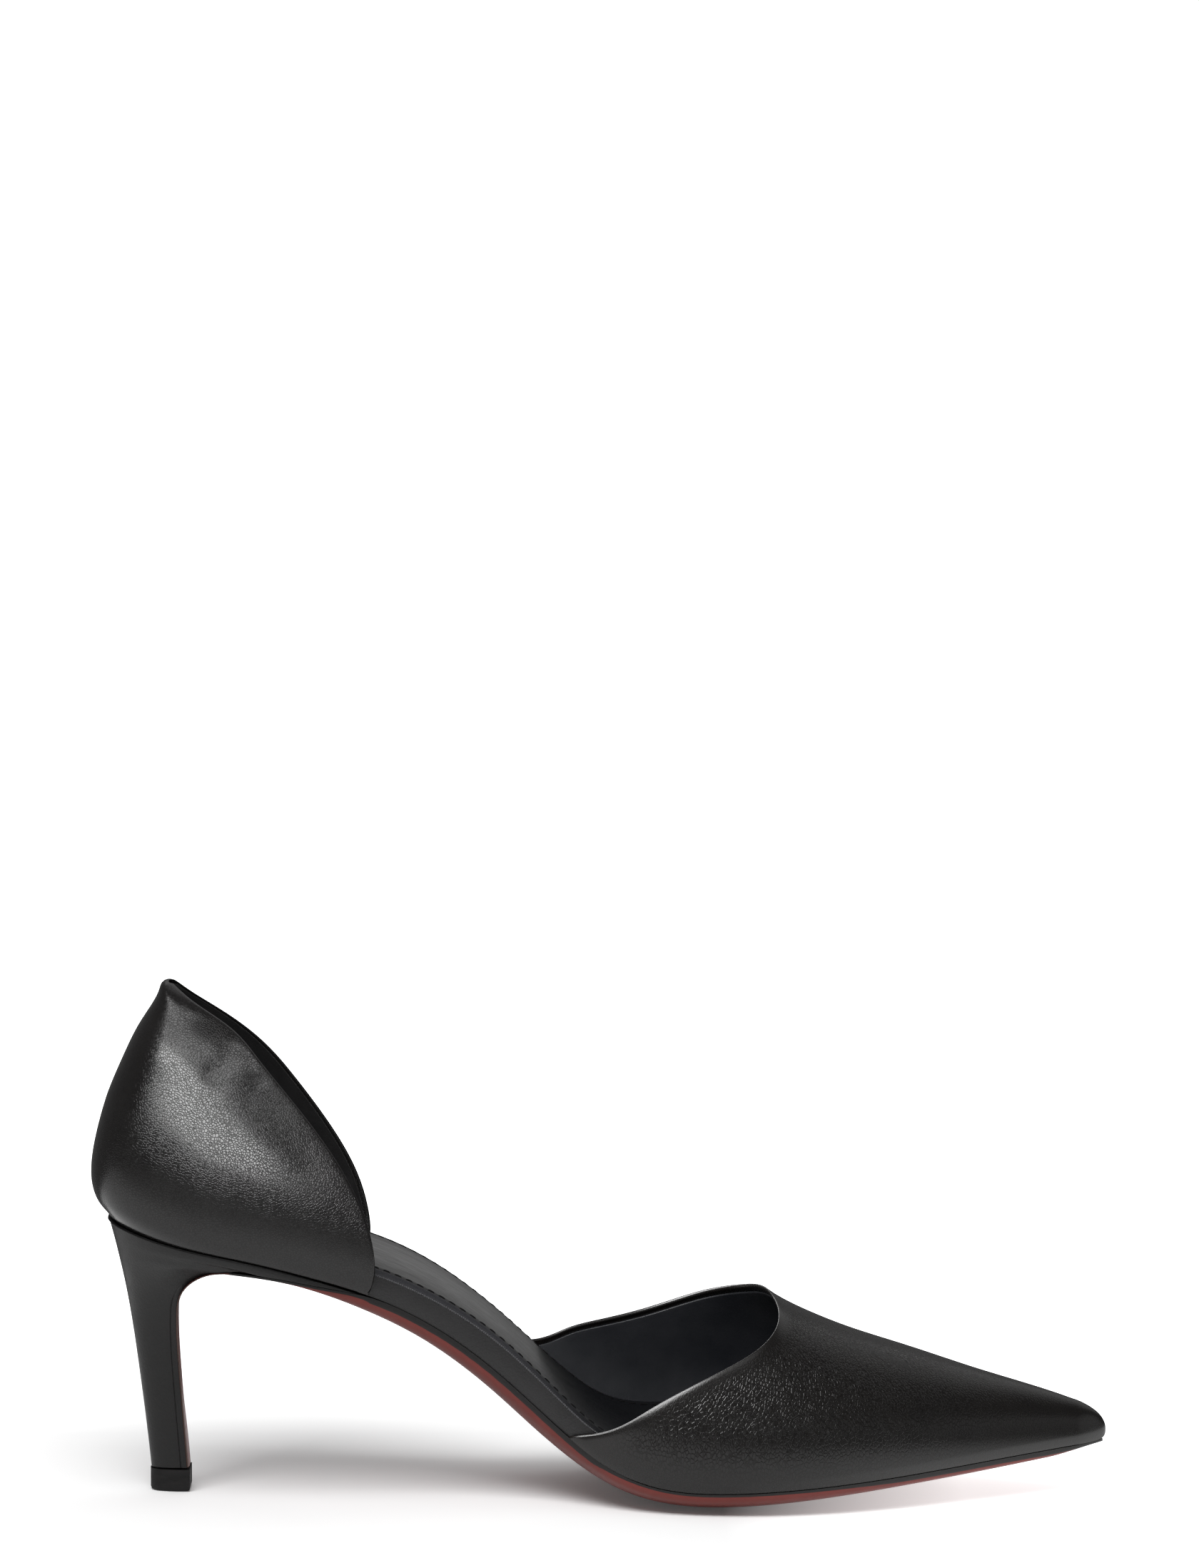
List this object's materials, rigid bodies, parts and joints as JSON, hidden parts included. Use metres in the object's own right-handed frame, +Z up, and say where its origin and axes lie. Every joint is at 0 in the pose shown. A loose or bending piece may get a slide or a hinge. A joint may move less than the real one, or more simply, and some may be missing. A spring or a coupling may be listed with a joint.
{
  "type": "pump shoe",
  "caption": "Pointed two-piece pump for the left foot, open at the waist on both sides, with a peaked heel quarter, a wrapped insole and a slim covered heel.",
  "frame": {"origin": "on the floor under the middle of the shoe's plan outline", "axes": "+X from the heel to the toe point, +Y from the inner side to the outer side of the foot, +Z up"},
  "size_m": [0.25, 0.076, 0.1266],
  "materials": {
    "upper_leather": "black fine-grained leather, satin",
    "insole_cover": "dark grey smooth leather, satin",
    "sole_leather": "dark red sole leather, satin",
    "heel_cover": "black smooth leather, low sheen",
    "lift_rubber": "black rubber, matte"
  },
  "bodies": {
    "root": {"vamp": "upper_leather", "heel_quarter": "upper_leather", "insole": "insole_cover", "outsole": "sole_leather", "heel": "heel_cover", "top_lift": "lift_rubber"}
  },
  "joints": []
}
